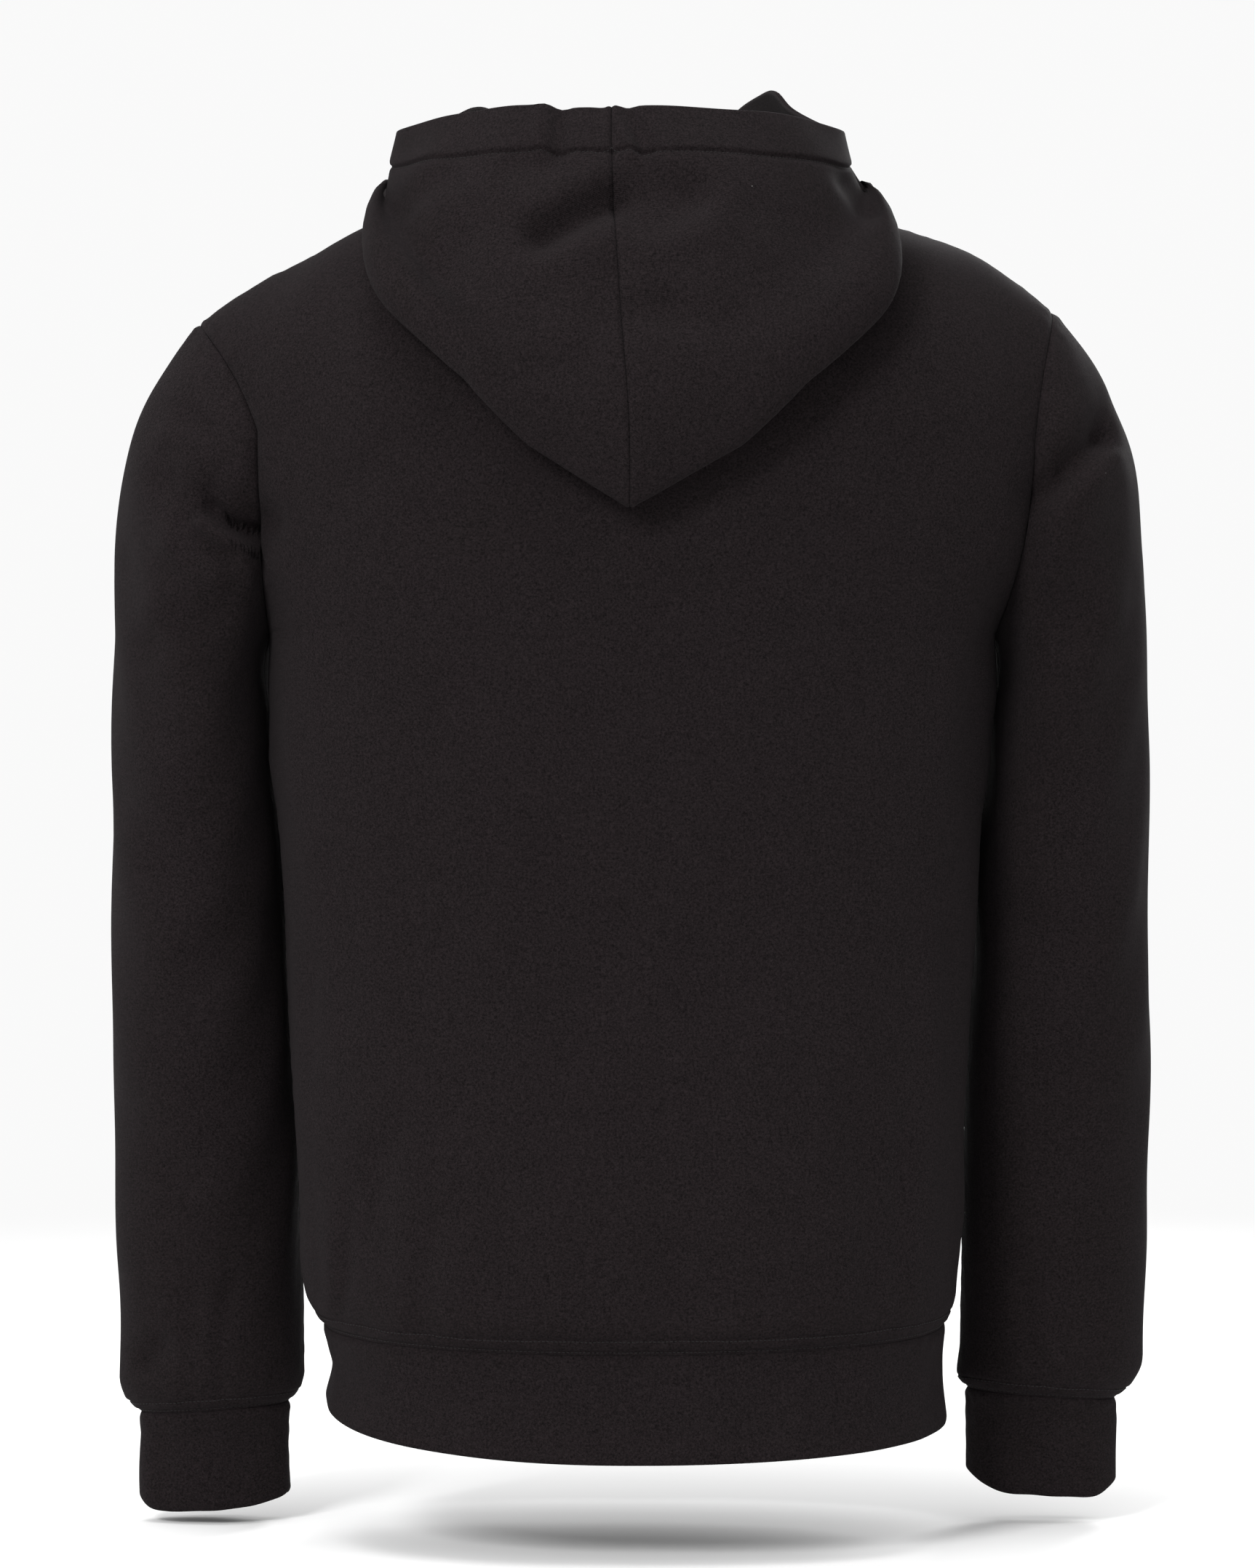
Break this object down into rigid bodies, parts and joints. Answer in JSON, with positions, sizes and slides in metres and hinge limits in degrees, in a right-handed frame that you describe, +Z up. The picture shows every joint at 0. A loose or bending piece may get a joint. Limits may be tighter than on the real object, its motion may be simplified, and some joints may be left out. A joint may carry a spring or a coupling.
{
  "type": "zip-up hoodie",
  "caption": "Long-sleeved zip-up fleece hoodie in its hollow worn shape, hood down, with a smooth hem band, smooth cuffs and the front zip closed to the neck.",
  "frame": {"origin": "midway between the two high points of the shoulders, where the garment rests on its wearer", "axes": "+Z up, -Y the front, +X the wearer's left"},
  "size_m": [0.5932, 0.3049, 0.815],
  "materials": {
    "black_fleece": "matte brushed-back jersey",
    "black_tape": "woven tape with a moulded chain",
    "black_nickel": "black nickel"
  },
  "bodies": {
    "garment": {"back": "black_fleece", "front_left": "black_fleece", "front_right": "black_fleece", "sleeve_left": "black_fleece", "sleeve_right": "black_fleece", "cuff_left": "black_fleece", "cuff_right": "black_fleece", "hem_band": "black_fleece", "hood_left": "black_fleece", "hood_right": "black_fleece", "zip_tape_left": "black_tape", "zip_tape_right": "black_tape", "zip_slider": "black_nickel"},
    "pull_tab": {"zip_pull": "black_nickel"}
  },
  "joints": [
    {"name": "pull_tab_hinge", "type": "hinge", "parent": "garment", "child": "pull_tab", "pos_m": [0, -0.11806, -0.08926], "axis": [-1, 0, 0], "range_deg": [0, 150]}
  ]
}
